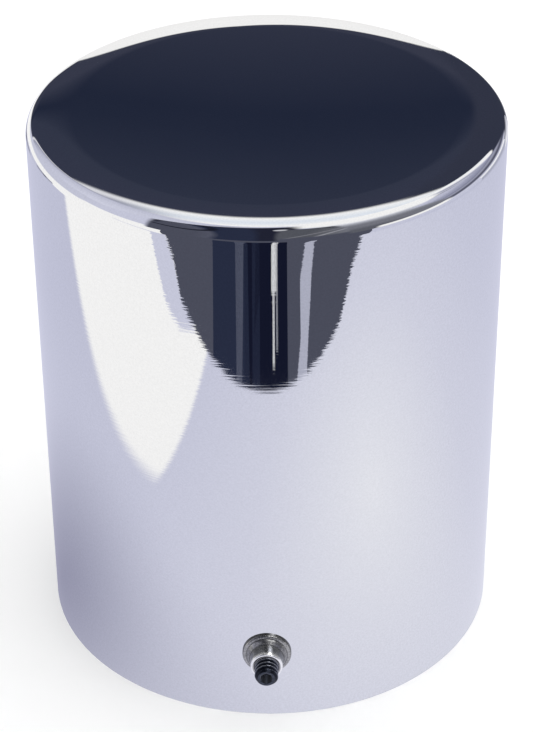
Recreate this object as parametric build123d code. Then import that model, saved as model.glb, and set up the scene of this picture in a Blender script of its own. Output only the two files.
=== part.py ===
"""Slip-on chrome cover for a spin-on filter.

The cover is a deep-drawn steel cup, open at the bottom.  A rivet nut in its
wall, close above the open rim, carries a hexagon socket set screw whose nylon
tip clamps the filter canister.

Frame: millimetres, +Z up along the cup's axis, origin at the centre of the
open rim.  The set screw points outwards along -Y.
"""

import math
import os

from build123d import *

# ---- cup -------------------------------------------------------------------
OUTER_RADIUS = 48.25
HEIGHT = 117.0
WALL = 1.0
CORNER_RADIUS = 2.65  # tight outer bend between the side wall and the crown
CROWN_RADIUS = 48.25  # shallow roll between that bend and the flat top
CROWN_SLOPE = 8.5  # degrees, where the shallow roll meets the tight bend
RIM_ROUND = 0.2  # outer edge of the open rim

INNER_RADIUS = OUTER_RADIUS - WALL

# ---- set screw thread, No. 10-24 -------------------------------------------
THREAD_PITCH = 25.4 / 24
THREAD_CREST_RADIUS = 2.41
THREAD_ROOT_RADIUS = 1.78
THREAD_FLANK_DEGREES = 30.0
THREAD_CREST_WIDTH = THREAD_PITCH / 8
THREAD_CLEARANCE = 0.05  # radial play between the screw and the nut

# ---- where the fastener sits -----------------------------------------------
BOSS_HEIGHT = 16.9  # screw axis above the open rim
OUTWARDS = Location((0, 0, BOSS_HEIGHT), (90, 0, 0))  # local +Z becomes -Y

# ---- rivet nut, measured outwards from the cup's axis ------------------------
NUT_INNER_FACE = INNER_RADIUS + 0.05
NUT_HEAD_RADIUS = 4.11
NUT_HEAD_LAND = 0.1  # straight edge of the countersunk head
NUT_HEAD_CONE = 0.55  # depth of the cone, and its change of radius
NUT_SHANK_RADIUS = 3.56
NUT_BULGE_RADIUS = 5.04
NUT_BULGE_SHOULDER = 0.96  # height of the bulge's rounded edge above the cup
NUT_BULGE_ROUND = 0.54
NUT_FOLD_RADIUS = 4.28  # foot of the cone above the shoulder
NUT_FOLD_END_RADIUS = 3.62
NUT_FOLD_HEIGHT = 2.05  # above the cup
NUT_SLEEVE_BASE_RADIUS = 3.5
NUT_SLEEVE_END_RADIUS = 3.32
NUT_SLEEVE_END = OUTER_RADIUS + 4.8
NUT_SLEEVE_CHAMFER = 0.3
NUT_MOUTH_RADIUS = 2.56  # countersink at the thread's outer end
NUT_GAP = 0.02  # between the set nut and the cup wall

# ---- set screw ---------------------------------------------------------------
SCREW_LENGTH = 7.94
SCREW_OUTER_END = OUTER_RADIUS + 8.45
SCREW_INNER_END = SCREW_OUTER_END - SCREW_LENGTH
SCREW_CHAMFER = 0.6
SOCKET_ACROSS_FLATS = 2.4
SOCKET_DEPTH = 2.7
SOCKET_CONE_DEPTH = 0.6

# ---- nylon tip -----------------------------------------------------------------
TIP_RADIUS = 1.3
TIP_PLAY = 0.03  # radial play between the tip and its pocket
TIP_PROUD = 0.6  # how far the tip stands out of the screw
TIP_SEATED = 1.8  # how deep the tip sits in the screw
TIP_ROUND = 0.2


def turned(*outline):
    """Solid of revolution about local Z of (radius, z) corners."""
    return revolve(Plane.XZ * make_face(Polyline(*outline, close=True)), Axis.Z)


def thread_ridge(base_radius, play, start, end):
    """Right-hand helical ridge, grown by play on its crest and both flanks."""
    crest_radius = THREAD_CREST_RADIUS + play
    slope = math.tan(math.radians(THREAD_FLANK_DEGREES))
    crest_half = THREAD_CREST_WIDTH / 2 + play
    base_half = crest_half + (crest_radius - base_radius) * slope
    first = start - (start % THREAD_PITCH)  # every ridge is in phase with the others
    height = math.ceil((end - first) / THREAD_PITCH) * THREAD_PITCH
    path = Pos(0, 0, first) * Helix(THREAD_PITCH, height, base_radius)
    section = Polyline(
        (base_radius, first - base_half),
        (crest_radius, first - crest_half),
        (crest_radius, first + crest_half),
        (base_radius, first + base_half),
        close=True,
    )
    return sweep(Plane.XZ * make_face(section), path, is_frenet=True)


def make_shell():
    """Deep-drawn cup with the countersunk hole for the rivet nut."""
    slope = math.radians(CROWN_SLOPE)
    corner_x = OUTER_RADIUS - CORNER_RADIUS
    crown_x = corner_x + (CORNER_RADIUS - CROWN_RADIUS) * math.sin(slope)
    crown_z = HEIGHT - CROWN_RADIUS
    corner_z = crown_z + (CROWN_RADIUS - CORNER_RADIUS) * math.cos(slope)

    def skin(inset):
        """Wall, tight bend, shallow roll and flat top of one face of the sheet."""
        wall = Line((OUTER_RADIUS - inset, 0), (OUTER_RADIUS - inset, corner_z))
        bend = CenterArc((corner_x, corner_z), CORNER_RADIUS - inset, 0, 90 - CROWN_SLOPE)
        roll = CenterArc((crown_x, crown_z), CROWN_RADIUS - inset, 90 - CROWN_SLOPE, CROWN_SLOPE)
        flat = Line((crown_x, HEIGHT - inset), (0, HEIGHT - inset))
        return [wall, bend, roll, flat]

    rim = Line((INNER_RADIUS, 0), (OUTER_RADIUS, 0))
    axis = Line((0, HEIGHT), (0, HEIGHT - WALL))
    section = make_face([*skin(0), *skin(WALL), rim, axis])
    cup = revolve(Plane.XZ * section, Axis.Z)
    rim_edges = cup.edges().filter_by_position(Axis.Z, 0, 0)
    cup = fillet(rim_edges.sort_by(SortBy.RADIUS)[-1], RIM_ROUND)

    hole = NUT_SHANK_RADIUS + NUT_GAP
    head = NUT_HEAD_RADIUS + NUT_GAP
    land_end = NUT_INNER_FACE + NUT_HEAD_LAND
    cone_end = land_end + NUT_HEAD_CONE
    cutter = turned(
        (0, INNER_RADIUS - WALL),
        (head, INNER_RADIUS - WALL),
        (head, land_end),
        (hole, cone_end),
        (hole, OUTER_RADIUS + WALL),
        (0, OUTER_RADIUS + WALL),
    )
    return cup - OUTWARDS * cutter


def make_rivet_nut():
    """Set rivet nut: flush head inside, rolled bulge and threaded sleeve outside."""
    land_end = NUT_INNER_FACE + NUT_HEAD_LAND
    cone_end = land_end + NUT_HEAD_CONE
    fold_end = OUTER_RADIUS + NUT_FOLD_HEIGHT
    core = turned(
        (0, NUT_INNER_FACE),
        (NUT_HEAD_RADIUS, NUT_INNER_FACE),
        (NUT_HEAD_RADIUS, land_end),
        (NUT_SHANK_RADIUS, cone_end),
        (NUT_SHANK_RADIUS, OUTER_RADIUS),
        (NUT_SLEEVE_BASE_RADIUS, fold_end),
        (NUT_SLEEVE_END_RADIUS, NUT_SLEEVE_END - NUT_SLEEVE_CHAMFER),
        (NUT_SLEEVE_END_RADIUS - NUT_SLEEVE_CHAMFER, NUT_SLEEVE_END),
        (0, NUT_SLEEVE_END),
    )
    shoulder = OUTER_RADIUS + NUT_BULGE_SHOULDER
    bulge = turned(
        (0, OUTER_RADIUS - WALL / 2),
        (NUT_BULGE_RADIUS, OUTER_RADIUS - WALL / 2),
        (NUT_BULGE_RADIUS, shoulder),
        (NUT_FOLD_RADIUS, shoulder),
        (NUT_FOLD_END_RADIUS, fold_end),
        (0, fold_end),
    )
    outer_edge = bulge.edges().filter_by_position(Axis.Z, shoulder, shoulder).sort_by(SortBy.RADIUS)[-1]
    bulge = fillet(outer_edge, NUT_BULGE_ROUND)
    wall = Cylinder(OUTER_RADIUS + NUT_GAP, 4 * NUT_BULGE_RADIUS)
    seat = OUTWARDS.inverse() * (Pos(0, 0, BOSS_HEIGHT) * wall)
    body = core + (bulge - seat)

    bore = THREAD_ROOT_RADIUS + THREAD_CLEARANCE
    mouth_depth = NUT_MOUTH_RADIUS - bore
    drilled = turned(
        (0, NUT_INNER_FACE - WALL),
        (bore, NUT_INNER_FACE - WALL),
        (bore, NUT_SLEEVE_END - mouth_depth),
        (NUT_MOUTH_RADIUS, NUT_SLEEVE_END),
        (NUT_MOUTH_RADIUS, NUT_SLEEVE_END + WALL),
        (0, NUT_SLEEVE_END + WALL),
    )
    groove = thread_ridge(
        bore - THREAD_CLEARANCE,
        THREAD_CLEARANCE,
        NUT_INNER_FACE - 2 * THREAD_PITCH,
        NUT_SLEEVE_END + 2 * THREAD_PITCH,
    )
    return OUTWARDS * (body - groove - drilled)


def make_set_screw():
    """Socket set screw with a rolled thread, a hexagon socket and a pocket for the tip."""
    end_radius = THREAD_CREST_RADIUS - SCREW_CHAMFER
    core = Pos(0, 0, SCREW_INNER_END) * Cylinder(
        THREAD_ROOT_RADIUS,
        SCREW_LENGTH,
        align=(Align.CENTER, Align.CENTER, Align.MIN),
    )
    ridge = thread_ridge(
        THREAD_ROOT_RADIUS - THREAD_CLEARANCE,
        0,
        SCREW_INNER_END - THREAD_PITCH,
        SCREW_OUTER_END + THREAD_PITCH,
    )
    envelope = turned(
        (0, SCREW_INNER_END),
        (end_radius, SCREW_INNER_END),
        (THREAD_CREST_RADIUS + THREAD_CLEARANCE, SCREW_INNER_END + SCREW_CHAMFER + THREAD_CLEARANCE),
        (THREAD_CREST_RADIUS + THREAD_CLEARANCE, SCREW_OUTER_END - SCREW_CHAMFER - THREAD_CLEARANCE),
        (end_radius, SCREW_OUTER_END),
        (0, SCREW_OUTER_END),
    )
    blank = core + (ridge & envelope)

    socket_floor = SCREW_OUTER_END - SOCKET_DEPTH
    hexagon = RegularPolygon(SOCKET_ACROSS_FLATS / 2, 6, major_radius=False)
    socket = Pos(0, 0, socket_floor) * extrude(hexagon, SOCKET_DEPTH + WALL)
    drill_point = turned(
        (0, socket_floor - SOCKET_CONE_DEPTH),
        (SOCKET_ACROSS_FLATS / 2 - THREAD_CLEARANCE, socket_floor),
        (0, socket_floor),
    )
    pocket = Pos(0, 0, SCREW_INNER_END - WALL) * Cylinder(
        TIP_RADIUS + TIP_PLAY,
        TIP_SEATED + TIP_PLAY + WALL,
        align=(Align.CENTER, Align.CENTER, Align.MIN),
    )
    return OUTWARDS * (blank - socket - drill_point - pocket)


def make_nylon_tip():
    """Round nylon pellet held in the screw's inner end."""
    pellet = Pos(0, 0, SCREW_INNER_END - TIP_PROUD) * Cylinder(
        TIP_RADIUS,
        TIP_PROUD + TIP_SEATED,
        align=(Align.CENTER, Align.CENTER, Align.MIN),
    )
    return OUTWARDS * fillet(pellet.edges().group_by(Axis.Z)[0], TIP_ROUND)


PARTS = {
    "shell": make_shell,
    "rivet_nut": make_rivet_nut,
    "set_screw": make_set_screw,
    "nylon_tip": make_nylon_tip,
}

os.makedirs("parts", exist_ok=True)
for node, make in PARTS.items():
    export_step(make(), f"parts/{node}.step")
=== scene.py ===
import math

import bmesh
import bpy
from mathutils import Matrix, Vector


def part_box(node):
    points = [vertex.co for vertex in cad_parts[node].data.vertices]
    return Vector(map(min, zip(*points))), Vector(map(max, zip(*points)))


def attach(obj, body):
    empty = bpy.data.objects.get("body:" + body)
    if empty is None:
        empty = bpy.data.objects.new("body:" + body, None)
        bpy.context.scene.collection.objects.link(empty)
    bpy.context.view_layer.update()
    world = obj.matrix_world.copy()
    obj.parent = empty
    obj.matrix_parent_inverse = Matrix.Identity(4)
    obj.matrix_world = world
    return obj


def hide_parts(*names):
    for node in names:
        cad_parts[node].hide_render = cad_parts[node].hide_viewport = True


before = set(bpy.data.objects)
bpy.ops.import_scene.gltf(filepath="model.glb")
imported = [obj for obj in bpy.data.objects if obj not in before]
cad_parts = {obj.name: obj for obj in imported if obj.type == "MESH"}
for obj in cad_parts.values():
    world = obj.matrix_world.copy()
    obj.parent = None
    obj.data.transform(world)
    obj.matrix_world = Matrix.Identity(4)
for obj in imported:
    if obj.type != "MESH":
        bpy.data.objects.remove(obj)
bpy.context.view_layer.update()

# ---- sizes, in metres ---------------------------------------------------------
MM = 0.001
_, shell_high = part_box("shell")
nut_low, nut_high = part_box("rivet_nut")
screw_low, screw_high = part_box("set_screw")
tip_low, tip_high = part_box("nylon_tip")

# the cup hangs on the CAD shell's outer radius and height
OUTER = shell_high.x
HEIGHT = shell_high.z
WALL = 1.0 * MM
INNER = OUTER - WALL
CORNER = 2.65 * MM  # tight outer bend below the top
CROWN = OUTER  # shallow roll between that bend and the flat top
CROWN_SLOPE = 8.5  # degrees
RIM_ROUND = 0.2 * MM
COLUMNS = 360  # around the cup
BEND_STEPS, ROLL_STEPS, FLAT_STEPS = 24, 10, 8  # rows from the wall to the middle of the top
WALL_STEPS = 12  # rows of wall over the patch
PATCH = 14  # columns, and rows, of wall given up to the hole for the nut

# the nut and the screw share an axis, the boss axis, which points outwards along -Y
BOSS_Z = (nut_low.z + nut_high.z) / 2
AROUND = 96  # points around the small pieces
EDGE_STEPS = 6  # steps around a rounded edge of a small piece
WELD = 0.0005 * MM  # points closer than this are joined
SHARP = math.radians(30)  # edges that turn by more than this stay crisp
GAP = 0.02 * MM  # between the nut and the sheet

# rivet nut: depths are measured outwards from the cup's axis, and radii from the boss axis
NUT_FACE = -nut_high.y
NUT_END = -nut_low.y
NUT_LAND = 0.1 * MM  # straight edge of the head
NUT_CONE = 0.55 * MM  # height of the cone under the head
NUT_HEAD = 4.11 * MM
NUT_SHANK = 3.56 * MM
NUT_BULGE = (nut_high.z - nut_low.z) / 2
NUT_MOUTH = 2.56 * MM  # countersink at the inner end
NUT_COUNTERSINK = 2.62 * MM  # countersink at the outer end

# set screw, No. 10-24
PITCH = 25.4 / 24 * MM
CREST = (screw_high.z - screw_low.z) / 2
ROOT = 1.78 * MM
PLAY = 0.05 * MM  # between the two threads
FLANK = math.radians(30)
CREST_WIDTH = PITCH / 8  # flat along the top of the thread
TURN_STEPS = 16  # rows of points in one turn of the thread
SCREW_INNER = -screw_high.y
SCREW_OUTER = -screw_low.y
SCREW_CHAMFER = 0.6 * MM
HEX_FLAT = 1.2 * MM  # from the axis to a flat of the socket
HEX_DEPTH = 2.7 * MM
HEX_CONE = 0.6 * MM

# nylon pellet in the screw's inner end
TIP_RADIUS = (tip_high.z - tip_low.z) / 2
TIP_INNER = -tip_high.y
TIP_OUTER = -tip_low.y
TIP_ROUND = 0.2 * MM
TIP_PLAY = 0.03 * MM


# ---- mesh helpers -------------------------------------------------------------
class Skin:
    """Loops of points and the faces between them, made into one piece at the end."""

    def __init__(self):
        self.points = []
        self.normals = []
        self.faces = []
        self.slots = []

    def loop(self, points, normals=None):
        """Adds points, with the true surface's normals where they are known; returns their indices."""
        first = len(self.points)
        self.points += points
        self.normals += normals or [(0, 0, 0)] * len(points)
        return list(range(first, len(self.points)))

    def face(self, corners, slot=0):
        self.faces.append(corners)
        self.slots.append(slot)

    def join(self, a, b, slot=0):
        """Quads between two closed loops of the same length."""
        for i in range(len(a)):
            j = (i + 1) % len(a)
            self.face((a[i], a[j], b[j], b[i]), slot)

    def fan(self, loop, centre, slot=0):
        """Triangles from a closed loop to one point."""
        for i in range(len(loop)):
            self.face((loop[i], loop[(i + 1) % len(loop)], centre), slot)

    def piece(self, name, materials, body, node, finish, merge=0.0, exact_normals=False):
        """The finished piece, riding on its body in place of its CAD node."""
        mesh = bpy.data.meshes.new(name)
        mesh.from_pydata(self.points, [], self.faces)
        mesh.polygons.foreach_set("material_index", self.slots)
        work = bmesh.new()
        work.from_mesh(mesh)
        if merge:
            bmesh.ops.remove_doubles(work, verts=work.verts, dist=merge)
            bmesh.ops.dissolve_degenerate(work, edges=work.edges, dist=merge)
        bmesh.ops.recalc_face_normals(work, faces=work.faces)
        work.to_mesh(mesh)
        work.free()
        mesh.shade_smooth()
        mesh.set_sharp_from_angle(angle=SHARP)
        if exact_normals:
            mesh.normals_split_custom_set([self.normals[corner.vertex_index] for corner in mesh.loops])
        for material in materials:
            mesh.materials.append(material)
        obj = bpy.data.objects.new(name, mesh)
        bpy.context.scene.collection.objects.link(obj)
        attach(obj, body)
        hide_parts(node)
        return obj


def arc(centre, radius, start, end, steps):
    """(radius, height) and outward normal of each point of an arc, with angles in degrees."""
    out = []
    for k in range(steps + 1):
        a = math.radians(start + (end - start) * k / steps)
        across, up = math.cos(a), math.sin(a)
        out.append((centre[0] + radius * across, centre[1] + radius * up, across, up))
    return out


def boss_ring(radius, depth):
    """Points of a ring about the boss axis; either measure may be a function of the angle."""
    out = []
    for k in range(AROUND):
        a = 2 * math.pi * k / AROUND
        r = radius(a) if callable(radius) else radius
        t = depth(a) if callable(depth) else depth
        out.append((r * math.cos(a), -t, BOSS_Z + r * math.sin(a)))
    return out


def boss_turned(skin, outline):
    """Joined rings for a turned outline of (radius, depth); returns all the rings."""
    rings = [skin.loop(boss_ring(r, t)) for r, t in outline]
    for a, b in zip(rings, rings[1:]):
        skin.join(a, b)
    return rings


def rounded(centre, radius, start, end):
    """(radius, depth) points of a rounded edge in a turned outline, with angles in degrees."""
    return [(r, t) for r, t, _, _ in arc(centre, radius, start, end, EDGE_STEPS)]


def thread_radius(phase, play):
    """Radius of the thread at a distance along the axis from the middle of its ridge."""
    off = abs((phase / PITCH + 0.5) % 1 - 0.5) * PITCH
    fall = max(off - CREST_WIDTH / 2 - play, 0) / math.tan(FLANK)
    return max(CREST + play - fall, ROOT + play)


def threaded(skin, start, end, play, trim):
    """Right-hand helical thread from one depth to another, cut by trim(radius, depth).

    The rows follow the helix, and the rows past an end collapse onto its circle.
    """
    first = start - start % PITCH - PITCH
    count = (math.ceil((end - first) / PITCH) + 1) * TURN_STEPS
    rows = []
    for k in range(count):
        row = []
        for i in range(AROUND):
            a = 2 * math.pi * i / AROUND
            lead = first + PITCH * k / TURN_STEPS
            t = min(max(lead + PITCH * i / AROUND, start), end)
            r = trim(thread_radius(lead, play), t)
            row.append((r * math.cos(a), -t, BOSS_Z + r * math.sin(a)))
        rows.append(skin.loop(row))
    for k in range(count - 1):
        for i in range(AROUND - 1):
            skin.face((rows[k][i], rows[k][i + 1], rows[k + 1][i + 1], rows[k + 1][i]))
    for k in range(count - TURN_STEPS - 1):
        ahead = k + TURN_STEPS
        skin.face((rows[k][-1], rows[ahead][0], rows[ahead + 1][0], rows[k + 1][-1]))


# ---- node helpers -------------------------------------------------------------
def new_material(name):
    """A new material, with its node tree and its shader."""
    material = bpy.data.materials.new(name)
    material.use_nodes = True
    tree = material.node_tree
    return material, tree, tree.nodes["Principled BSDF"]


def noise(tree, scale, detail, stretch=(1, 1, 1)):
    """Noise value over the object's own coordinates, stretched along each axis."""
    place = tree.nodes.new("ShaderNodeTexCoord")
    mapping = tree.nodes.new("ShaderNodeMapping")
    mapping.inputs["Scale"].default_value = stretch
    texture = tree.nodes.new("ShaderNodeTexNoise")
    texture.inputs["Scale"].default_value = scale
    texture.inputs["Detail"].default_value = detail
    tree.links.new(place.outputs["Object"], mapping.inputs["Vector"])
    tree.links.new(mapping.outputs["Vector"], texture.inputs["Vector"])
    return texture.outputs["Fac"]


def ramp(tree, value, stops):
    """Colour ramp over a value from 0 to 1.

    The stops are (position, colour) pairs in order, and a colour may be one grey number.
    """
    node = tree.nodes.new("ShaderNodeValToRGB")
    elements = node.color_ramp.elements
    elements.remove(elements[1])
    for i, (position, colour) in enumerate(stops):
        element = elements.new(position) if i else elements[0]
        element.position = position
        element.color = (*colour, 1) if isinstance(colour, tuple) else (colour, colour, colour, 1)
    tree.links.new(value, node.inputs["Fac"])
    return node.outputs["Color"]


def ramp_to(tree, value, reach, stops):
    """Colour ramp over a value from 0 to its reach, with the stops' positions in the value's own unit."""
    shares = [(position / reach, colour) for position, colour in stops]
    return ramp(tree, calc(tree, "DIVIDE", value, reach), shares)


def calc(tree, operation, *values):
    """Result of a math node over numbers or other nodes' outputs."""
    node = tree.nodes.new("ShaderNodeMath")
    node.operation = operation
    for socket, value in zip(node.inputs, values):
        if isinstance(value, (int, float)):
            socket.default_value = value
        else:
            tree.links.new(value, socket)
    return node.outputs[0]


def above(tree, value, edge, softness):
    """0 below an edge and 1 above it, with a soft step between."""
    node = tree.nodes.new("ShaderNodeMapRange")
    node.interpolation_type = "SMOOTHSTEP"
    node.inputs["From Min"].default_value = edge - softness
    node.inputs["From Max"].default_value = edge + softness
    tree.links.new(value, node.inputs["Value"])
    return node.outputs["Result"]


def below(tree, value, edge, softness):
    """1 below an edge and 0 above it, with a soft step between."""
    return above(tree, calc(tree, "MULTIPLY", value, -1), -edge, softness)


def both(tree, first, second):
    """1 only where two masks are both 1."""
    return calc(tree, "MULTIPLY", first, second)


def squared(tree, value, centre=0.0):
    """Square of a value's difference from a centre."""
    return calc(tree, "POWER", calc(tree, "SUBTRACT", value, centre), 2)


def distance(tree, x, y, from_x=0.0, from_y=0.0):
    """Distance in a plane from a point."""
    total = calc(tree, "ADD", squared(tree, x, from_x), squared(tree, y, from_y))
    return calc(tree, "SQRT", total)


def blend(tree, factor, low, high):
    """Colour between two colours, each a tuple or another node's output."""
    node = tree.nodes.new("ShaderNodeMix")
    node.data_type = "RGBA"
    tree.links.new(factor, node.inputs["Factor"])
    for socket, colour in ((node.inputs[6], low), (node.inputs[7], high)):
        if isinstance(colour, tuple):
            socket.default_value = (*colour, 1)
        else:
            tree.links.new(colour, socket)
    return node.outputs[2]


def axes(tree, output, scale=1.0):
    """X, Y and Z of a texture coordinate, divided by a scale.

    In the world's tree, "Generated" is the direction that a ray leaves in.
    """
    place = tree.nodes.new("ShaderNodeTexCoord")
    split = tree.nodes.new("ShaderNodeSeparateXYZ")
    tree.links.new(place.outputs[output], split.inputs["Vector"])
    return [calc(tree, "DIVIDE", split.outputs[k], scale) for k in range(3)]


def bump(tree, height, depth, under=None):
    """Normal bent by a height from 0 to 1 over a depth in metres, on top of another bump if given."""
    node = tree.nodes.new("ShaderNodeBump")
    node.inputs["Strength"].default_value = 1.0
    node.inputs["Distance"].default_value = depth
    tree.links.new(height, node.inputs["Height"])
    if under:
        tree.links.new(under, node.inputs["Normal"])
    return node.outputs["Normal"]


# ---- materials ----------------------------------------------------------------
def chrome_plate():
    """Bright chrome with fine polishing marks that run around the cup."""
    material, tree, shader = new_material("chrome_plate")
    shader.inputs["Metallic"].default_value = 1.0
    grain = noise(tree, 2650, 2)
    tint = ramp(tree, grain, [(0.25, (0.76, 0.765, 0.78)), (0.75, (0.83, 0.835, 0.85))])
    haze = ramp(tree, noise(tree, 50, 4), [(0.35, 0.012), (0.8, 0.04)])
    marks = noise(tree, 2000, 2, (0.03, 0.03, 1))
    waves = noise(tree, 130, 2, (0.2, 0.2, 1))
    normal = bump(tree, waves, 0.005 * MM)
    normal = bump(tree, marks, 0.0036 * MM, under=normal)
    tree.links.new(tint, shader.inputs["Base Color"])
    tree.links.new(haze, shader.inputs["Roughness"])
    tree.links.new(normal, shader.inputs["Normal"])
    return material


def plated_inside():
    """The cup's inside: the same plate over unpolished drawn steel, so it is duller."""
    material, tree, shader = new_material("plated_inside")
    shader.inputs["Metallic"].default_value = 1.0
    drawn = noise(tree, 220, 5, (1, 1, 0.06))
    tint = ramp(tree, noise(tree, 45, 4), [(0.3, (0.40, 0.40, 0.43)), (0.7, (0.50, 0.50, 0.53))])
    haze = ramp(tree, drawn, [(0.3, 0.28), (0.75, 0.42)])
    tree.links.new(tint, shader.inputs["Base Color"])
    tree.links.new(haze, shader.inputs["Roughness"])
    tree.links.new(bump(tree, drawn, 0.02 * MM), shader.inputs["Normal"])
    return material


def from_boss_axis(tree):
    """Distance from the axis of the nut and the screw, in millimetres."""
    x, _, z = axes(tree, "Object", MM)
    return distance(tree, x, z, 0.0, BOSS_Z / MM)


def zinc_plate():
    """Dull, faintly yellow-grey plating, scuffed by handling, with painted shade in its creases, a sleeve
    painted darker and a painted highlight on the sleeve's end.

    Radii are in millimetres from the nut's axis.
    """
    material, tree, shader = new_material("zinc_plate")
    shader.inputs["Metallic"].default_value = 1.0
    stain = noise(tree, 900, 5)
    plate = ramp(tree, stain, [(0.3, (0.20, 0.198, 0.198)), (0.7, (0.42, 0.415, 0.41))])
    away = from_boss_axis(tree)
    # painted shade: dark rings in the creases, in the mouth and round the bulge's outer edge, set by radius
    crease_shade = ramp_to(tree, away, 6.0, [
        (2.58, 0.0),
        (2.67, 1.0),
        (3.36, 1.0),
        (3.51, 0.10),
        (3.69, 1.0),
        (4.14, 1.0),
        (4.26, 0.15),
        (4.38, 0.9),
        (4.86, 0.9),
        (5.01, 0.15),
    ])
    sleeve_end, sleeve, fold, bulge = 2.88, 3.30, 3.44, 4.22
    # painted shade: the sleeve is painted a darker, bluer grey than the rest of the plate
    tone = blend(tree, above(tree, away, fold, 0.03), (0.21, 0.215, 0.235), plate)
    tone = blend(tree, above(tree, away, bulge, 0.10), tone, (0.50, 0.495, 0.48))
    mottle = ramp(tree, noise(tree, 3400, 3), [(0.4, 0.4), (0.6, 1.0)])
    tone = blend(tree, mottle, (0.15, 0.15, 0.155), tone)
    # the rounded edge at the sleeve's end is painted near white, a painted highlight; the mouth inside it
    # is painted grey, and black above the screw, a painted shadow
    _, _, rise = axes(tree, "Object", MM)
    shade = above(tree, rise, BOSS_Z / MM + 1.0, 0.8)
    mouth = blend(tree, shade, (0.42, 0.415, 0.41), (0.0, 0.0, 0.0))
    end = blend(tree, above(tree, away, sleeve_end, 0.04), mouth, (0.97, 0.965, 0.95))
    tone = blend(tree, above(tree, away, sleeve, 0.03), end, tone)
    # the painted shade in the creases goes over everything else
    tone = blend(tree, crease_shade, (0.05, 0.05, 0.055), tone)
    haze = ramp(tree, stain, [(0.3, 0.36), (0.7, 0.24)])
    turned = noise(tree, 4200, 2, (0.12, 1, 0.12))
    normal = bump(tree, turned, 0.006 * MM)
    tree.links.new(tone, shader.inputs["Base Color"])
    tree.links.new(haze, shader.inputs["Roughness"])
    tree.links.new(bump(tree, stain, 0.02 * MM, under=normal), shader.inputs["Normal"])
    return material


def black_oxide():
    """Black-oxide steel with painted shade in the socket and the thread's valleys and a painted highlight
    along its crests.
    """
    material, tree, shader = new_material("black_oxide")
    shader.inputs["Metallic"].default_value = 0.85
    grain = noise(tree, 2500, 4)
    # painted shade and painted highlight, by radius in millimetres: the socket, the end face, the thread's
    # root and its crest
    valley_shade_crest_highlight = ramp_to(tree, from_boss_axis(tree), 3.0, [
        (1.2, (0.008, 0.010, 0.016)),
        (1.38, (0.075, 0.085, 0.115)),
        (1.755, (0.06, 0.068, 0.09)),
        (1.83, (0.006, 0.008, 0.014)),
        (2.22, (0.012, 0.015, 0.026)),
        (2.34, (0.12, 0.13, 0.17)),
        (2.4, (0.30, 0.31, 0.36)),
    ])
    patchy = ramp(tree, grain, [(0.35, 0.55), (0.7, 1.0)])
    haze = ramp(tree, grain, [(0.3, 0.38), (0.7, 0.27)])
    tree.links.new(blend(tree, patchy, (0.01, 0.012, 0.018), valley_shade_crest_highlight), shader.inputs["Base Color"])
    tree.links.new(haze, shader.inputs["Roughness"])
    tree.links.new(bump(tree, grain, 0.01 * MM), shader.inputs["Normal"])
    return material


def nylon():
    """Natural nylon: milky, softly glossy."""
    material, tree, shader = new_material("nylon")
    milky = noise(tree, 1500, 3)
    tint = ramp(tree, milky, [(0.3, (0.80, 0.78, 0.72)), (0.7, (0.87, 0.86, 0.81))])
    shader.inputs["Roughness"].default_value = 0.38
    shader.inputs["Subsurface Weight"].default_value = 0.3
    shader.inputs["Subsurface Scale"].default_value = 0.6 * MM
    tree.links.new(tint, shader.inputs["Base Color"])
    tree.links.new(bump(tree, milky, 0.01 * MM), shader.inputs["Normal"])
    return material


# ---- the drawn cup --------------------------------------------------------------
def cup_profile(inset):
    """(radius, height, normal) points from the wall's top over the bend and the roll to the flat top."""
    slope = math.radians(CROWN_SLOPE)
    corner = (OUTER - CORNER, HEIGHT - CROWN + (CROWN - CORNER) * math.cos(slope))
    crown = (corner[0] - (CROWN - CORNER) * math.sin(slope), HEIGHT - CROWN)
    bend = arc(corner, CORNER - inset, 0, 90 - CROWN_SLOPE, BEND_STEPS)
    roll = arc(crown, CROWN - inset, 90 - CROWN_SLOPE, 90, ROLL_STEPS)
    flat = [(crown[0] * k / FLAT_STEPS, HEIGHT - inset, 0, 1) for k in range(FLAT_STEPS - 1, 0, -1)]
    return bend + roll[1:] + flat


def wall_rows(top):
    """Heights of the wall's rows: one row per column's width beside the hole, and few elsewhere."""
    step = OUTER * 2 * math.pi / COLUMNS
    patch = [BOSS_Z + step * (k - PATCH / 2) for k in range(PATCH + 1)]
    over = [patch[-1] + (top - patch[-1]) * k / WALL_STEPS for k in range(1, WALL_STEPS)]
    return [RIM_ROUND] + patch + over


def turned_loop(skin, point, side):
    """One ring of the cup. Side is 1 on the outside and -1 on the inside, for the normals."""
    r, z, nr, nz = point
    angles = [2 * math.pi * k / COLUMNS - math.pi / 2 for k in range(COLUMNS)]
    points = [(r * math.cos(a), r * math.sin(a), z) for a in angles]
    normals = [(side * nr * math.cos(a), side * nr * math.sin(a), side * nz) for a in angles]
    return skin.loop(points, normals)


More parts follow.
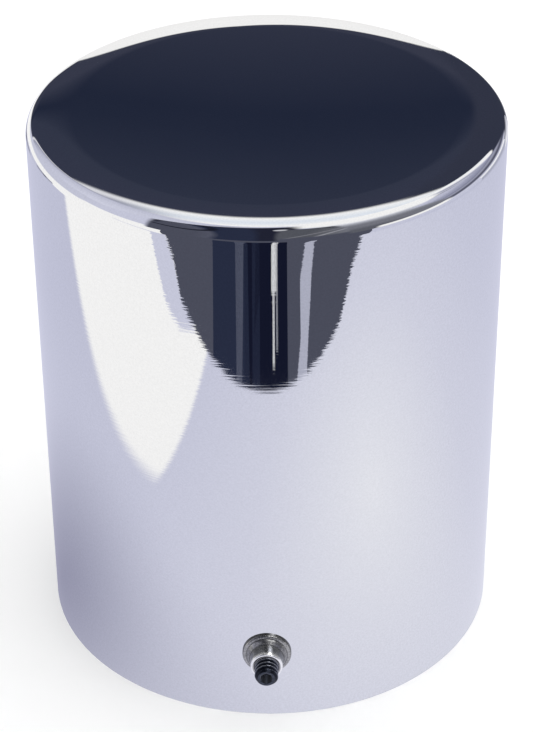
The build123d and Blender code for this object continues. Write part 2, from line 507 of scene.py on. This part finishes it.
def wall_with_hole(skin, loops, radius, hole, side, slot):
    """Joins the wall's rings, leaves a square patch free and leads it in to a round hole.

    Returns the hole's loop. The patch is centred on the ring's first column.
    """
    half = PATCH // 2
    for row, (a, b) in enumerate(zip(loops, loops[1:])):
        beside_hole = 1 <= row <= PATCH
        for i in range(COLUMNS):
            j = (i + 1) % COLUMNS
            if not (beside_hole and (i < half or i >= COLUMNS - half)):
                skin.face((a[i], a[j], b[j], b[i]), slot)
    rows = loops[1:PATCH + 2]
    square = [rows[0][i] for i in range(-half, half)]
    square += [rows[k][half] for k in range(PATCH)]
    square += [rows[-1][i] for i in range(half, -half, -1)]
    square += [rows[k][-half] for k in range(PATCH, 0, -1)]
    outer = square
    for share in (0.3, 0.6, 0.8, 0.92, 1.0):  # of the way from the square to the hole
        points = []
        for corner in square:
            x, _, z = skin.points[corner]
            a = math.atan2(z - BOSS_Z, x)
            px = x + (hole * math.cos(a) - x) * share
            pz = z + (BOSS_Z + hole * math.sin(a) - z) * share
            points.append((px, -math.sqrt(radius ** 2 - px ** 2), pz))
        inner = skin.loop(points, [(side * x / radius, side * y / radius, 0) for x, y, _ in points])
        skin.join(outer, inner, slot)
        outer = inner
    return outer


def drawn_cup(outside, inside):
    """The cup: a mirror-bright outside, a duller inside, and the hole for the rivet nut."""
    skin = Skin()
    ends, holes = [], []
    for inset, slot, side in ((0.0, 0, 1), (WALL, 1, -1)):
        radius = OUTER - inset
        profile = cup_profile(inset)
        rows = [(radius, z, 1, 0) for z in wall_rows(profile[0][1])]
        loops = [turned_loop(skin, p, side) for p in rows + profile]
        hole = NUT_HEAD + GAP if inset else NUT_SHANK + GAP
        holes.append(wall_with_hole(skin, loops[:len(rows) + 1], radius, hole, side, slot))
        for a, b in zip(loops[len(rows):], loops[len(rows) + 1:]):
            skin.join(a, b, slot)
        centre = skin.loop([(0, 0, HEIGHT - inset)], [(0, 0, side)])[0]
        skin.fan(loops[-1], centre, slot)
        ends.append(loops[0])
    # the open rim: a rounded edge on each side of the sheet
    edge = []
    for centre, start, end in ((OUTER - RIM_ROUND, 0, -90), (INNER + RIM_ROUND, -90, -180)):
        edge += arc((centre, RIM_ROUND), RIM_ROUND, start, end, EDGE_STEPS - 1)
    rings = [ends[0]] + [turned_loop(skin, p, 1) for p in edge[1:-1]] + [ends[1]]
    for a, b in zip(rings, rings[1:]):
        skin.join(a, b)
    # the countersunk hole through the sheet
    land = NUT_FACE + NUT_LAND
    cone = land + NUT_CONE
    bores = [holes[0]]
    for r, t in ((NUT_SHANK + GAP, cone), (NUT_HEAD + GAP, land)):
        ring = []
        for i in holes[0]:
            x, _, z = skin.points[i]
            a = math.atan2(z - BOSS_Z, x)
            ring.append((r * math.cos(a), -t, BOSS_Z + r * math.sin(a)))
        bores.append(skin.loop(ring))
    bores.append(holes[1])
    for a, b in zip(bores, bores[1:]):
        skin.join(a, b, 1)
    return skin.piece("drawn_cup", [outside, inside], "cover", "shell", "chrome_plate", exact_normals=True)


# ---- the rivet nut --------------------------------------------------------------
def on_wall(radius, lift):
    """Depth, as a function of the angle, of a ring that lies on the cup's outside."""
    return lambda a: math.sqrt((OUTER + lift) ** 2 - (radius * math.cos(a)) ** 2)


def set_rivet_nut(finish):
    """Head in the countersink, shank through the sheet, rolled bulge and threaded sleeve outside."""
    skin = Skin()
    shoulder = OUTER + 0.96 * MM
    fold_end = OUTER + 2.05 * MM
    round_edge = 0.54 * MM
    land = NUT_FACE + NUT_LAND
    chamfer = 0.05 * MM
    back = [
        (NUT_MOUTH, NUT_FACE),
        (NUT_HEAD - chamfer, NUT_FACE),
        (NUT_HEAD, NUT_FACE + chamfer),
        (NUT_HEAD, land),
        (NUT_SHANK, land + NUT_CONE),
        (NUT_SHANK, on_wall(NUT_SHANK, GAP)),
        (NUT_BULGE, on_wall(NUT_BULGE, GAP)),
        (NUT_BULGE, shoulder - round_edge),
    ]
    bulge = rounded((NUT_BULGE - round_edge, shoulder - round_edge), round_edge, 0, 80)
    crease = 0.12 * MM
    fold = [
        (4.28 * MM, shoulder + 0.05 * MM),
        (4.17 * MM, shoulder + 0.12 * MM),
        (3.88 * MM, fold_end - 0.42 * MM),
        (3.72 * MM, fold_end - 0.07 * MM),
        (3.62 * MM, fold_end),
        (3.52 * MM, fold_end - crease / 2),
        (3.46 * MM, fold_end + crease / 2),
    ]
    end_round = 0.24 * MM
    lip = 0.05 * MM
    sleeve = [
        (3.43 * MM, fold_end + 0.6 * MM),
        (3.32 * MM, NUT_END - 0.9 * MM),
    ]
    rim = rounded((3.05 * MM, NUT_END - end_round), end_round, 0, 90)
    mouth = [(NUT_COUNTERSINK + 0.06 * MM, NUT_END), (NUT_COUNTERSINK, NUT_END - lip)]
    boss_turned(skin, back + bulge + fold + sleeve + rim + mouth)

    def opened(radius, depth):
        """The thread, cut away by a countersink at each end."""
        outer_mouth = NUT_COUNTERSINK - (NUT_END - lip - depth)
        inner_mouth = NUT_MOUTH - (depth - NUT_FACE)
        return max(radius, outer_mouth, inner_mouth)

    threaded(skin, NUT_FACE, NUT_END - lip, PLAY, opened)
    return skin.piece("rivet_nut_body", [finish], "cover", "rivet_nut", "zinc_plate", merge=WELD)


# ---- the set screw --------------------------------------------------------------
def hexagon(flat):
    """Radius of a hexagon, as a function of the angle, from its distance to a flat."""
    return lambda a: flat / math.cos((a + math.pi / 6) % (math.pi / 3) - math.pi / 6)


def socket_set_screw(finish):
    """Threaded body with chamfered ends, a hexagon socket outside and a pocket for the tip inside."""
    skin = Skin()
    end_radius = CREST - SCREW_CHAMFER

    def envelope(radius, depth):
        """The thread, cut by the chamfer at each end."""
        return min(radius, end_radius + SCREW_OUTER - depth, end_radius + depth - SCREW_INNER)

    threaded(skin, SCREW_INNER, SCREW_OUTER, 0, envelope)
    lip = 0.12 * MM
    floor = SCREW_OUTER - HEX_DEPTH
    socket = boss_turned(skin, [
        (end_radius, SCREW_OUTER),
        (hexagon(HEX_FLAT + lip), SCREW_OUTER),
        (hexagon(HEX_FLAT), SCREW_OUTER - lip),
        (hexagon(HEX_FLAT), floor),
        (HEX_FLAT - 0.05 * MM, floor),
    ])
    point = skin.loop([(0, -(floor - HEX_CONE), BOSS_Z)])[0]
    skin.fan(socket[-1], point)
    pocket_floor = TIP_OUTER + TIP_PLAY
    pocket = boss_turned(skin, [
        (end_radius, SCREW_INNER),
        (TIP_RADIUS + TIP_PLAY, SCREW_INNER),
        (TIP_RADIUS + TIP_PLAY, pocket_floor),
    ])
    skin.fan(pocket[-1], skin.loop([(0, -pocket_floor, BOSS_Z)])[0])
    return skin.piece("socket_set_screw", [finish], "screw", "set_screw", "black_oxide", merge=WELD)


def nylon_pellet(finish):
    """Round pellet with a softened face, standing out of the screw's inner end."""
    skin = Skin()
    face = rounded((TIP_RADIUS - TIP_ROUND, TIP_INNER + TIP_ROUND), TIP_ROUND, -90, 0)
    back = rounded((TIP_RADIUS - TIP_ROUND / 2, TIP_OUTER - TIP_ROUND / 2), TIP_ROUND / 2, 0, 90)
    rings = boss_turned(skin, face + back)
    skin.fan(rings[0], skin.loop([(0, -TIP_INNER, BOSS_Z)])[0])
    skin.fan(rings[-1], skin.loop([(0, -TIP_OUTER, BOSS_Z)])[0])
    return skin.piece("nylon_pellet", [finish], "tip", "nylon_tip", "nylon")


drawn_cup(chrome_plate(), plated_inside())
fittings = [set_rivet_nut(zinc_plate()), socket_set_screw(black_oxide()), nylon_pellet(nylon())]
for fitting in fittings:
    # the polished wall shows no image of them
    fitting.visible_glossy = False


# ---- stage: the floor and what the cup mirrors ----------------------------------
# light that the cards and the room send into reflections
WHITE = (1.10, 1.09, 1.07)
LAVENDER = (0.68, 0.69, 0.83)
GREY = (0.085, 0.09, 0.125)
NAVY = (0.025, 0.032, 0.064)
BLACK = (0.008, 0.01, 0.026)
DARK = (0.018, 0.02, 0.038)

# heights of the cards over the floor, in millimetres: a card hides those below it
FAR_LAYER = 0.02
ROOM_LAYER = 0.03
STRIPE_LAYER = 0.06
STREAK_LAYER = 0.07
SHEET_LAYER = 0.10
EDGE_LAYER = 0.12
FLAG_LAYER = 0.14
BAR_LAYER = 0.16

# places on the floor, in cup radii from the cup's axis; -Y is the front
STRIPES_NEAR = 3.5
STRIPES_FAR = 4.8
STRIPES_END = 9.5
FLAGS_NEAR = 5.9
FLAGS_END = 80
FADE_END = 30.0  # past here a fading card keeps its last colour


def glowing(name, colour=WHITE):
    """A plain glowing material; returns its node tree and emission node as well."""
    material = bpy.data.materials.new(name)
    material.use_nodes = True
    tree = material.node_tree
    tree.nodes.clear()
    glow = tree.nodes.new("ShaderNodeEmission")
    glow.inputs["Color"].default_value = (*colour, 1)
    out = tree.nodes.new("ShaderNodeOutputMaterial")
    tree.links.new(glow.outputs["Emission"], out.inputs["Surface"])
    return material, tree, glow


def fading(name, tones):
    """A glow that changes with the distance from the cup; tones are (radii away, colour) pairs."""
    material, tree, glow = glowing(name)
    x, y, _ = axes(tree, "Object", OUTER)
    tree.links.new(ramp_to(tree, distance(tree, x, y), FADE_END, tones), glow.inputs["Color"])
    return material


def card(name, corners, height, look):
    """A flat polygon over the floor, in cup radii, seen only in reflections.

    Its look is a material, or a colour to glow in.
    """
    mesh = bpy.data.meshes.new(name)
    mesh.from_pydata([(x * OUTER, y * OUTER, height * MM) for x, y in corners], [], [range(len(corners))])
    mesh.materials.append(glowing(name, look)[0] if isinstance(look, tuple) else look)
    obj = bpy.data.objects.new(name, mesh)
    bpy.context.scene.collection.objects.link(obj)
    obj.visible_camera = False
    obj.visible_diffuse = False
    obj.visible_shadow = False


def floor():
    """A plain pale floor under everything."""
    size = 40.0
    corners = [(-size, -size, 0), (size, -size, 0), (size, size, 0), (-size, size, 0)]
    mesh = bpy.data.meshes.new("floor")
    mesh.from_pydata(corners, [], [(0, 1, 2, 3)])
    material, _, shader = new_material("floor")
    shader.inputs["Base Color"].default_value = (0.97, 0.97, 0.97, 1)
    shader.inputs["Roughness"].default_value = 1.0
    shader.inputs["Specular IOR Level"].default_value = 0.0
    mesh.materials.append(material)
    obj = bpy.data.objects.new("floor", mesh)
    bpy.context.scene.collection.objects.link(obj)
    obj.visible_glossy = False


def stripe(name, near, far, colour, start=STRIPES_NEAR):
    """A streak of the room that fans out past the sheet, from its left and right edges at two distances."""
    lean = [(far[k] - near[k]) / (STRIPES_FAR - STRIPES_NEAR) for k in range(2)]
    ends = ((0, start), (1, start), (1, STRIPES_END), (0, STRIPES_END))
    corners = [(near[k] + lean[k] * (away - STRIPES_NEAR), -away) for k, away in ends]
    card(name, corners, STRIPE_LAYER, colour)


def flag(name, bearings, near, far, look, height=FLAG_LAYER):
    """A card lying further out, between two bearings in degrees from +Y and two distances."""
    steps = 8
    start, end = bearings
    angles = [math.radians(start + (end - start) * k / steps) for k in range(steps + 1)]
    corners = [(near * math.sin(a), near * math.cos(a)) for a in angles]
    corners += [(far * math.sin(a), far * math.cos(a)) for a in reversed(angles)]
    card(name, corners, height, look)


def far_floor():
    """Bright floor far out on the left and lavender on the right, with the dark room's floor in front."""
    left, right, front, back = -63, 64.8, -60, 60
    split = (12, back)
    card("far_left", [(left, front), (0, -1), split, (left, back)], FAR_LAYER, WHITE)
    card("far_right", [(0, -1), (right, front), (right, back), split], FAR_LAYER, LAVENDER)
    card("room_floor", [(left, front), (right, front), (3.4, -3.5), (-3.4, -3.5)], ROOM_LAYER, GREY)


def room_stripes():
    """Upright things in the dark room, drawn out into stripes down the wall."""
    stripe("navy_left", (-1.42, -0.42), (-1.95, -0.62), NAVY)
    stripe("pale_line", (-0.76, -0.62), (-1.07, -0.78), (0.105, 0.115, 0.165))
    stripe("black_middle", (-0.55, 0.55), (-0.75, 0.76), BLACK)
    stripe("blue_line", (-0.35, -0.16), (-0.47, -0.21), (0.022, 0.028, 0.058))
    stripe("white_line", (0.11, 0.27), (0.20, 0.41), (1.0, 1.0, 1.0), 4.5)
    stripe("white_thread", (0.16, 0.215), (0.24, 0.31), (0.9, 0.9, 0.92), 3.75)
    stripe("grey_line", (0.25, 0.30), (0.36, 0.42), (0.34, 0.35, 0.40), 3.9)
    card("streak_right", [
        (0.78, -3.5), (1.05, -3.5), (1.22, -3.85), (1.55, -4.45), (1.78, -4.75),
        (3.0, -7.5), (2.6, -7.5), (1.45, -4.85), (1.15, -4.5), (1.0, -3.9),
    ], STREAK_LAYER, (0.50, 0.51, 0.62))


def shapes_behind():
    """Shapes on the floor behind the cup, which its sides and its top edge mirror."""
    flag("dark_shape", (12, 29), 5.4, FLAGS_END, fading("dark_shape", [
        (5.4, (0.62, 0.63, 0.72)),
        (6.3, (0.42, 0.43, 0.50)),
        (8, (0.20, 0.205, 0.26)),
        (10, (0.10, 0.105, 0.14)),
        (13, (0.06, 0.065, 0.09)),
        (26, (0.035, 0.04, 0.06)),
    ]))
    flag("lit_gap", (29, 41), FLAGS_NEAR, FLAGS_END, fading("lit_gap", [
        (6, WHITE),
        (9, (0.85, 0.86, 0.92)),
        (13, (0.66, 0.67, 0.76)),
        (26, (0.3, 0.3, 0.34)),
    ]))
    flag("dim_shape", (41, 70), FLAGS_NEAR, FLAGS_END, fading("dim_shape", [
        (6, (0.60, 0.61, 0.74)),
        (9, (0.44, 0.45, 0.56)),
        (13, (0.50, 0.51, 0.62)),
        (18, (0.80, 0.81, 0.90)),
        (28, WHITE),
    ]))
    boards = (("grey_left", (-72, -56), 6.6, 9.4), ("grey_back", (-46, -30), 6.2, 9.0))
    for name, bearings, near, far in boards:
        flag(name, bearings, near, far, (0.36, 0.37, 0.46))
    for bearing in (-66, -38):
        flag(f"dark_bar_{-bearing}", (bearing, bearing + 3), 6.6, 8.8, (0.10, 0.11, 0.16), BAR_LAYER)


def sheet_material():
    """Pale lavender sheet with a painted pool of light in front on the right, painted shadow beside the cup
    on the left, and a brightly lit patch on the left.
    """
    material, tree, glow = glowing("table_sheet")
    x, y, _ = axes(tree, "Object", OUTER)
    # painted pool of light, brightest in front on the right
    from_painted_pool = distance(tree, x, y, 1.7, -1.8)
    tone = ramp_to(tree, from_painted_pool, 6.0, [
        (0.0, (0.94, 0.945, 1.0)),
        (1.98, (0.763, 0.77, 0.89)),
        (3.6, (0.69, 0.70, 0.84)),
        (6.0, (0.63, 0.64, 0.79)),
    ])
    # painted shadow on the sheet beside the cup's left side
    out_of_shade = above(tree, distance(tree, x, y, -1.1, -0.1), 0.75, 0.95)
    tone = blend(tree, out_of_shade, (0.34, 0.34, 0.46), tone)
    # the lit patch starts past two slanting edges, one in front and one at the side
    leftwards = calc(tree, "MULTIPLY", x, -1)
    forwards = calc(tree, "MULTIPLY", y, -1)
    in_front = above(tree, calc(tree, "MULTIPLY_ADD", x, -0.9, forwards), 3.42, 0.14)
    at_side = above(tree, calc(tree, "MULTIPLY_ADD", y, -0.12, leftwards), 2.03, 0.05)
    tone = blend(tree, both(tree, in_front, at_side), tone, WHITE)
    tree.links.new(tone, glow.inputs["Color"])
    return material


def table_sheet():
    """The pale sheet that the cup stands on, which ends in front in an uneven edge."""
    card("table_sheet", [
        (-9, -3.75), (-3.0, -3.68), (-2.55, -3.51), (2.1, -3.53), (2.8, -3.77), (9, -3.7), (9, 9), (-9, 9),
    ], SHEET_LAYER, sheet_material())
    card("sheet_edge", [
        (-2.0, -3.52), (-2.4, -3.24), (-2.9, -3.13), (-3.8, -3.22),
        (-9, -3.3), (-9, -3.74), (-3.0, -3.67), (-2.55, -3.51),
    ], EDGE_LAYER, (0.70, 0.71, 0.85))


# ---- stage: the room, as directions of unit length ------------------------------
def right_margin(tree, z):
    """The room far out on the right: grey bands, by height."""
    return ramp(tree, z, [
        (0.0, (0.76, 0.77, 0.90)),
        (0.04, (0.60, 0.61, 0.74)),
        (0.10, (0.21, 0.215, 0.29)),
        (0.15, (0.10, 0.105, 0.15)),
        (0.20, (0.10, 0.105, 0.15)),
        (0.26, (0.23, 0.235, 0.31)),
        (0.31, (0.37, 0.38, 0.48)),
        (0.36, (0.36, 0.37, 0.48)),
        (0.40, (0.26, 0.265, 0.36)),
        (0.45, (0.33, 0.34, 0.46)),
        (0.58, (0.43, 0.44, 0.57)),
        (0.66, (0.57, 0.58, 0.72)),
        (0.80, LAVENDER),
    ])


def back_wall(tree, x, z):
    """Behind the cup: a dark board with a bowed top, and over it a lavender left and a banded right."""
    bowed = calc(tree, "MULTIPLY_ADD", squared(tree, x), 1.2, z)
    board = [
        (0.40, (0.045, 0.05, 0.08)),
        (0.456, (0.016, 0.022, 0.046)),
        (0.50, (0.038, 0.045, 0.075)),
        (0.644, (0.042, 0.047, 0.079)),
    ]
    left = ramp_to(tree, bowed, 2.0, board + [
        (0.658, (0.85, 0.85, 0.88)),
        (0.672, (0.80, 0.80, 0.85)),
        (0.69, (0.33, 0.34, 0.43)),
        (0.74, (0.50, 0.51, 0.63)),
        (0.84, (0.62, 0.63, 0.76)),
        (1.4, (0.76, 0.77, 0.90)),
    ])
    right = ramp_to(tree, bowed, 2.0, board + [
        (0.66, WHITE),
        (0.70, (0.86, 0.92, 1.0)),
        (0.74, WHITE),
        (0.84, WHITE),
        (0.90, LAVENDER),
        (0.98, (0.35, 0.35, 0.42)),
        (1.04, LAVENDER),
        (1.09, (0.30, 0.30, 0.36)),
        (1.14, (0.60, 0.60, 0.70)),
        (1.18, (0.08, 0.08, 0.12)),
        (1.28, (0.30, 0.31, 0.40)),
        (1.40, LAVENDER),
    ])
    tone = blend(tree, above(tree, x, -0.14, 0.06), left, right)
    # on the right the board reaches further out
    flatter = calc(tree, "MULTIPLY_ADD", x, -0.9, 1.2)
    bow = calc(tree, "MULTIPLY", squared(tree, x), flatter)
    under_bow = below(tree, calc(tree, "ADD", bow, z), 0.656, 0.01)
    tone = blend(tree, both(tree, above(tree, x, 0.12, 0.02), under_bow), tone, (0.037, 0.042, 0.069))
    return blend(tree, above(tree, x, 0.59, 0.03), tone, right_margin(tree, z))


def left_light(tree, x, z, tone):
    """A bright window past the board's left end, lavender from a little above the floor."""
    light = blend(tree, above(tree, z, 0.10, 0.04), WHITE, (0.66, 0.67, 0.80))
    inside = above(tree, calc(tree, "MULTIPLY_ADD", z, 0.62, x), -0.42, 0.03)
    return blend(tree, inside, light, tone)


def lit_foot(tree, x, z, tone):
    """The white gap under the board, highest in the middle and a little dimmer straight behind."""
    aside = calc(tree, "ABSOLUTE", calc(tree, "ADD", x, 0.03))
    fall = calc(tree, "MULTIPLY_ADD", squared(tree, aside), 12.5, 0.55)
    extra = calc(tree, "MULTIPLY", calc(tree, "MAXIMUM", calc(tree, "SUBTRACT", x, 0.14), 0), 4)
    foot = calc(tree, "MULTIPLY_ADD", aside, fall, extra)
    straight_back = ramp(tree, calc(tree, "ADD", z, 0.5), [
        (0.16, (0.965, 0.955, 0.935)),
        (0.42, (0.98, 0.97, 0.95)),
        (0.60, (1.01, 1.00, 0.98)),
        (0.75, (1.055, 1.045, 1.025)),
    ])
    gap = blend(tree, above(tree, calc(tree, "ABSOLUTE", x), 0.27, 0.05), straight_back, WHITE)
    return blend(tree, above(tree, calc(tree, "ADD", foot, z), 0.386, 0.006), gap, tone)


def overhead_and_front(tree, x, y, z, tone):
    """White overhead on the right, fading to grey towards the front; lavender on the left."""
    lean = calc(tree, "MAXIMUM", calc(tree, "SUBTRACT", x, 0.35), 0)
    backwards = calc(tree, "MULTIPLY_ADD", lean, -0.9, y)
    fade = ramp_to(tree, calc(tree, "ADD", backwards, 1), 1.5, [
        (0.03, (0.125, 0.13, 0.155)),
        (0.18, (0.205, 0.21, 0.245)),
        (0.375, (0.205, 0.21, 0.245)),
        (0.51, (0.26, 0.265, 0.305)),
        (0.66, (0.39, 0.40, 0.45)),
        (0.825, (0.57, 0.58, 0.64)),
        (0.975, (0.90, 0.91, 0.95)),
        (1.095, WHITE),
    ])
    overhead = both(tree, above(tree, z, 0.76, 0.02), above(tree, x, 0.05, 0.03))
    tone = blend(tree, overhead, tone, fade)
    front = blend(tree, above(tree, x, 0.2, 0.05), LAVENDER, fade)
    off_centre = calc(tree, "ABSOLUTE", calc(tree, "ADD", x, 0.02))
    low_sides = both(tree, below(tree, z, 0.17, 0.03), above(tree, off_centre, 0.79, 0.02))
    front = blend(tree, low_sides, front, WHITE)
    return blend(tree, above(tree, y, 0.0, 0.05), front, tone)


def wedge_edge(tree, x, y):
    """Below 0 inside the dark wedge overhead, which widens towards the front."""
    left = calc(tree, "MAXIMUM", calc(tree, "MULTIPLY", y, 0.56), calc(tree, "MULTIPLY", y, 1.5))
    left = calc(tree, "SUBTRACT", calc(tree, "SUBTRACT", left, x), 0.478)
    finger = calc(tree, "SUBTRACT", calc(tree, "MULTIPLY_ADD", y, 0.17, x), 0.12)
    shelf = calc(tree, "SUBTRACT", calc(tree, "MULTIPLY_ADD", y, 0.45, x), 0.25)
    shelf = calc(tree, "MAXIMUM", shelf, calc(tree, "ADD", y, 0.08))
    return calc(tree, "MAXIMUM", left, calc(tree, "MINIMUM", finger, shelf))


def along_line(tree, offset, width, softness):
    """1 where an offset from a line is smaller than a width."""
    return below(tree, calc(tree, "ABSOLUTE", offset), width, softness)


def dark_wedge(tree, x, y, z, tone):
    """The dark wedge: grey on the left, navy, nearly black in the middle, and grey with thin lines."""
    edge = wedge_edge(tree, x, y)
    narrowing = calc(tree, "MULTIPLY_ADD", z, 0.25, 0.75)
    across = calc(tree, "MULTIPLY", x, narrowing)
    inside = ramp(tree, calc(tree, "MULTIPLY_ADD", across, 0.5, 0.5), [
        (0.29, GREY),
        (0.335, (0.10, 0.105, 0.145)),
        (0.36, NAVY),
        (0.46, NAVY),
        (0.485, DARK),
        (0.522, DARK),
        (0.54, (0.105, 0.11, 0.13)),
        (0.62, (0.10, 0.105, 0.125)),
        (0.68, (0.14, 0.145, 0.165)),
        (0.74, (0.20, 0.205, 0.24)),
    ])
    # low on the right it is plain grey
    upper = above(tree, z, 0.25, 0.1)
    detailed = calc(tree, "MAXIMUM", upper, below(tree, x, 0.1, 0.02))
    inside = blend(tree, detailed, GREY, inside)
    # two thin bright lines on the right
    for slope, start, width, colour in (
            (2.14, 0.095, 0.05, (0.23, 0.23, 0.26)),
            (3.8, 1.2, 0.09, (0.34, 0.34, 0.38))):
        offset = calc(tree, "ADD", calc(tree, "MULTIPLY_ADD", x, -slope, z), start)
        line = along_line(tree, offset, width, width / 2)
        inside = blend(tree, both(tree, upper, line), inside, colour)
    # a thin dark curve on the left, and a dark outline except at the front
    curve = calc(tree, "MULTIPLY_ADD", squared(tree, x, -0.63), 2.0, 0.66)
    line = along_line(tree, calc(tree, "SUBTRACT", z, curve), 0.032, 0.02)
    inside = blend(tree, line, inside, (0.014, 0.016, 0.028))
    outline = both(tree, above(tree, edge, -0.045, 0.03), above(tree, y, -0.25, 0.05))
    inside = blend(tree, outline, inside, (0.022, 0.024, 0.04))
    # a small lamp near the wedge's back end
    lamp_x = calc(tree, "DIVIDE", calc(tree, "SUBTRACT", x, 0.055), 0.03)
    lamp_y = calc(tree, "DIVIDE", calc(tree, "ADD", y, 0.12), 0.10)
    off_lamp = calc(tree, "ADD", squared(tree, lamp_x), squared(tree, lamp_y))
    inside = blend(tree, below(tree, off_lamp, 1.0, 0.4), inside, (0.62, 0.62, 0.66))
    return blend(tree, above(tree, edge, 0.0, 0.03), inside, tone)


def room_tone(tree):
    """Everything that the cup mirrors above the floor, by the direction of the ray."""
    x, y, z = axes(tree, "Generated")
    tone = back_wall(tree, x, z)
    tone = left_light(tree, x, z, tone)
    tone = lit_foot(tree, x, z, tone)
    tone = overhead_and_front(tree, x, y, z, tone)
    return dark_wedge(tree, x, y, z, tone)


def second_glance(tree):
    """What the small fittings see by way of the cup's wall: dim, with a lamp towards the right."""
    x, _, _ = axes(tree, "Generated")
    return ramp(tree, calc(tree, "MULTIPLY_ADD", x, 0.5, 0.5), [
        (0.3, 0.5),
        (0.42, 0.2),
        (0.60, 0.2),
        (0.64, 6.5),
        (0.71, 6.5),
        (0.75, 0.4),
        (1.0, 0.7),
    ])


def studio_world():
    """Even white light on everything, and the room for reflections."""
    world = bpy.data.worlds.new("studio")
    bpy.context.scene.world = world
    world.use_nodes = True
    tree = world.node_tree
    tree.nodes.clear()
    plain = tree.nodes.new("ShaderNodeBackground")
    plain.inputs["Color"].default_value = (1.18, 1.18, 1.18, 1)
    mirrored = tree.nodes.new("ShaderNodeBackground")
    ray = tree.nodes.new("ShaderNodeLightPath")
    # past this depth a ray has been mirrored twice
    twice = above(tree, ray.outputs["Ray Depth"], 2.5, 0.4)
    room = blend(tree, twice, room_tone(tree), second_glance(tree))
    mix = tree.nodes.new("ShaderNodeMixShader")
    out = tree.nodes.new("ShaderNodeOutputWorld")
    tree.links.new(room, mirrored.inputs["Color"])
    tree.links.new(ray.outputs["Is Glossy Ray"], mix.inputs["Fac"])
    tree.links.new(plain.outputs["Background"], mix.inputs[1])
    tree.links.new(mirrored.outputs["Background"], mix.inputs[2])
    tree.links.new(mix.outputs["Shader"], out.inputs["Surface"])


# ---- stage: lamp and camera -----------------------------------------------------
def fitting_light(pieces):
    """Soft lamp from the front right that lights the small fittings only, not the mirror of the cup."""
    lit = bpy.data.collections.new("lit_fittings")
    for piece in pieces:
        lit.objects.link(piece)
    data = bpy.data.lights.new("fitting_light", "AREA")
    data.shape = "DISK"
    data.size = 0.17
    data.energy = 0.34
    obj = bpy.data.objects.new("fitting_light", data)
    obj.location = (0.11, -0.23, 0.29)
    aim = Vector((0, -NUT_END, BOSS_Z)) - obj.location
    obj.rotation_euler = aim.to_track_quat("-Z", "Y").to_euler()
    obj.light_linking.receiver_collection = lit
    bpy.context.scene.collection.objects.link(obj)


def camera():
    """Long lens looking down at the front of the cup."""
    data = bpy.data.cameras.new("camera")
    data.sensor_width = 36.0
    data.lens = 114.33
    data.clip_start = 0.01
    obj = bpy.data.objects.new("camera", data)
    bpy.context.scene.collection.objects.link(obj)
    distance_away = 10.3246 * OUTER
    pitch = math.radians(33.14)
    azimuth = math.radians(1.1)
    aim = Vector((-0.0101 * OUTER, 0, 1.1551 * OUTER))
    level = math.cos(pitch)
    back = Vector((math.sin(azimuth) * level, -math.cos(azimuth) * level, math.sin(pitch)))
    look = (-back).to_track_quat("-Z", "Y").to_matrix().to_4x4()
    roll = Matrix.Rotation(math.radians(-0.51), 4, "Z")
    obj.matrix_world = Matrix.Translation(aim + back * distance_away) @ look @ roll
    bpy.context.scene.camera = obj


floor()
far_floor()
room_stripes()
shapes_behind()
table_sheet()
studio_world()
fitting_light(fittings)
camera()
bpy.context.scene.view_settings.view_transform = "Standard"
